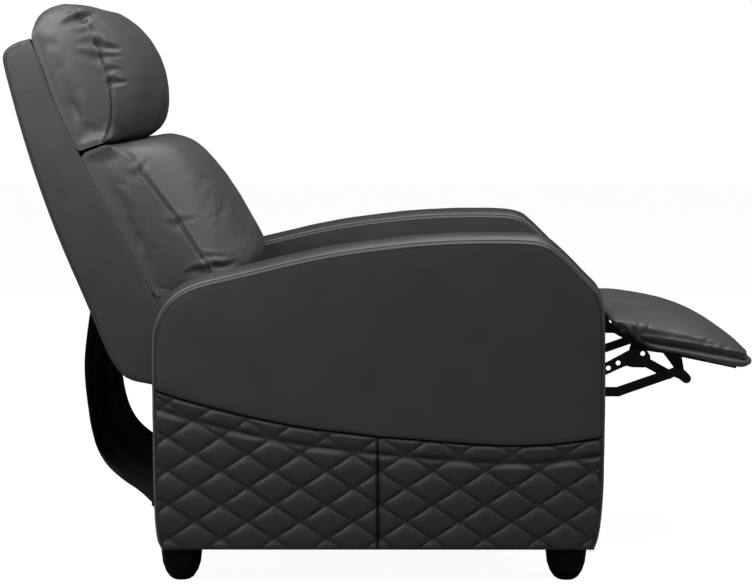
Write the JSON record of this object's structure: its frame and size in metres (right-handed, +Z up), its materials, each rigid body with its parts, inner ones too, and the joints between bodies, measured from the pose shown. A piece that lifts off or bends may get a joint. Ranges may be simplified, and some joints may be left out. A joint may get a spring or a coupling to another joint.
{
  "type": "push-back recliner",
  "caption": "Single-seat push-back recliner with quilted arm panels, headrest pillow, swing-mounted seat carriage, reclining back and a folding footrest linkage.",
  "frame": {"origin": "on the floor under the middle of the overall box, with the footrest out", "axes": "+Z up, the sitter faces -Y, the sitter's left is +X"},
  "size_m": [0.701, 1.3022, 0.9811],
  "materials": {
    "leatherette": "matt anthracite leatherette with a fine grain",
    "quilted_leatherette": "near-black leatherette, diamond quilted",
    "edge_leatherette": "near-black leatherette",
    "painted_steel": "black stove enamel",
    "spring_steel": "bright zinc-plated wire",
    "plywood": "bare plywood",
    "hardwood": "planed hardwood",
    "foot_plastic": "black moulded plastic",
    "curtain_cloth": "black lining cloth"
  },
  "bodies": {
    "base": {"arm_core_left": "plywood", "arm_core_right": "plywood", "arm_side_panel_left": "leatherette", "arm_side_panel_right": "leatherette", "arm_quilt_rear_left": "quilted_leatherette", "arm_quilt_rear_right": "quilted_leatherette", "arm_quilt_front_left": "quilted_leatherette", "arm_quilt_front_right": "quilted_leatherette", "arm_boxing_left": "edge_leatherette", "arm_boxing_right": "edge_leatherette", "arm_inner_panel_left": "leatherette", "arm_inner_panel_right": "leatherette", "foot_front_left": "foot_plastic", "foot_front_right": "foot_plastic", "foot_rear_left": "foot_plastic", "foot_rear_right": "foot_plastic", "mechanism_rail_left": "hardwood", "mechanism_rail_right": "hardwood", "front_rail": "hardwood", "rear_rail": "hardwood"},
    "front_swing": {"front_swing_link_left": "painted_steel", "front_swing_link_right": "painted_steel"},
    "rear_swing": {"rear_swing_link_left": "painted_steel", "rear_swing_link_right": "painted_steel"},
    "seat": {"seat_side_plate_left": "painted_steel", "seat_side_plate_right": "painted_steel", "seat_front_rail": "painted_steel", "seat_rear_rail": "painted_steel", "seat_springs": "spring_steel", "seat_cushion": "leatherette", "curtain_bar": "painted_steel"},
    "back": {"back_bracket_left": "painted_steel", "back_bracket_right": "painted_steel", "back_side_cover_left": "leatherette", "back_side_cover_right": "leatherette", "back_board": "plywood", "back_rear_cover": "leatherette", "lumbar_cushion": "leatherette", "headrest_pillow": "leatherette", "rear_curtain": "curtain_cloth"},
    "long_links": {"long_link_left": "painted_steel", "long_link_right": "painted_steel"},
    "rear_bars": {"rear_bar_left": "painted_steel", "rear_bar_right": "painted_steel"},
    "lower_bars": {"lower_bar_left": "painted_steel", "lower_bar_right": "painted_steel"},
    "couplers": {"coupler_left": "painted_steel", "coupler_right": "painted_steel"},
    "footrest": {"footrest_bracket_left": "painted_steel", "footrest_bracket_right": "painted_steel", "footrest_board": "plywood", "footrest_pad": "leatherette"},
    "front_links": {"front_link_left": "painted_steel", "front_link_right": "painted_steel"}
  },
  "joints": [
    {"name": "footrest_fold", "type": "hinge", "parent": "seat", "child": "long_links", "pos_m": [0, -0.3529, 0.381], "axis": [1, 0, 0], "range_deg": [0, 90]},
    {"name": "back_recline", "type": "hinge", "parent": "seat", "child": "back", "pos_m": [0, 0.3221, 0.36], "axis": [-1, 0, 0], "range_deg": [-10, 28], "deforming": ["rear_curtain"]},
    {"name": "front_swing", "type": "hinge", "parent": "base", "child": "front_swing", "pos_m": [0, -0.1079, 0.165], "axis": [1, 0, 0], "range_deg": [-29.16, 0.2]},
    {"name": "seat_level", "type": "hinge", "parent": "front_swing", "child": "seat", "pos_m": [0, -0.1454, 0.31024], "axis": [1, 0, 0], "range_deg": [-0.2, 29.16]},
    {"name": "rear_swing", "type": "hinge", "parent": "base", "child": "rear_swing", "pos_m": [0, 0.1921, 0.165], "axis": [1, 0, 0], "range_deg": [-29.16, 0.2]},
    {"name": "rear_bar_turn", "type": "hinge", "parent": "seat", "child": "rear_bars", "pos_m": [0, -0.2669, 0.346], "axis": [1, 0, 0], "range_deg": [-0.2, 82.01]},
    {"name": "lower_bar_turn", "type": "hinge", "parent": "rear_bars", "child": "lower_bars", "pos_m": [0, -0.4069, 0.312], "axis": [1, 0, 0], "range_deg": [-84.57, 0.2]},
    {"name": "coupler_turn", "type": "hinge", "parent": "long_links", "child": "couplers", "pos_m": [0, -0.4519, 0.364], "axis": [1, 0, 0], "range_deg": [-30.1, 0.2]},
    {"name": "footrest_turn", "type": "hinge", "parent": "long_links", "child": "footrest", "pos_m": [0, -0.4299, 0.366], "axis": [1, 0, 0], "range_deg": [-24.2, 0.2]},
    {"name": "front_link_turn", "type": "hinge", "parent": "footrest", "child": "front_links", "pos_m": [0, -0.5239, 0.335], "axis": [1, 0, 0], "range_deg": [-8.24, 0.2]}
  ],
  "couplings": [
    {"joint": "front_swing", "follows": "footrest_fold", "ratio": -0.32172},
    {"joint": "seat_level", "follows": "footrest_fold", "ratio": 0.32172},
    {"joint": "rear_swing", "follows": "footrest_fold", "ratio": -0.32172},
    {"joint": "rear_bar_turn", "follows": "footrest_fold", "ratio": 0.90896},
    {"joint": "lower_bar_turn", "follows": "footrest_fold", "ratio": -0.93746},
    {"joint": "coupler_turn", "follows": "footrest_fold", "ratio": -0.33227},
    {"joint": "footrest_turn", "follows": "footrest_fold", "ratio": -0.26667},
    {"joint": "front_link_turn", "follows": "footrest_fold", "ratio": -0.089316}
  ]
}
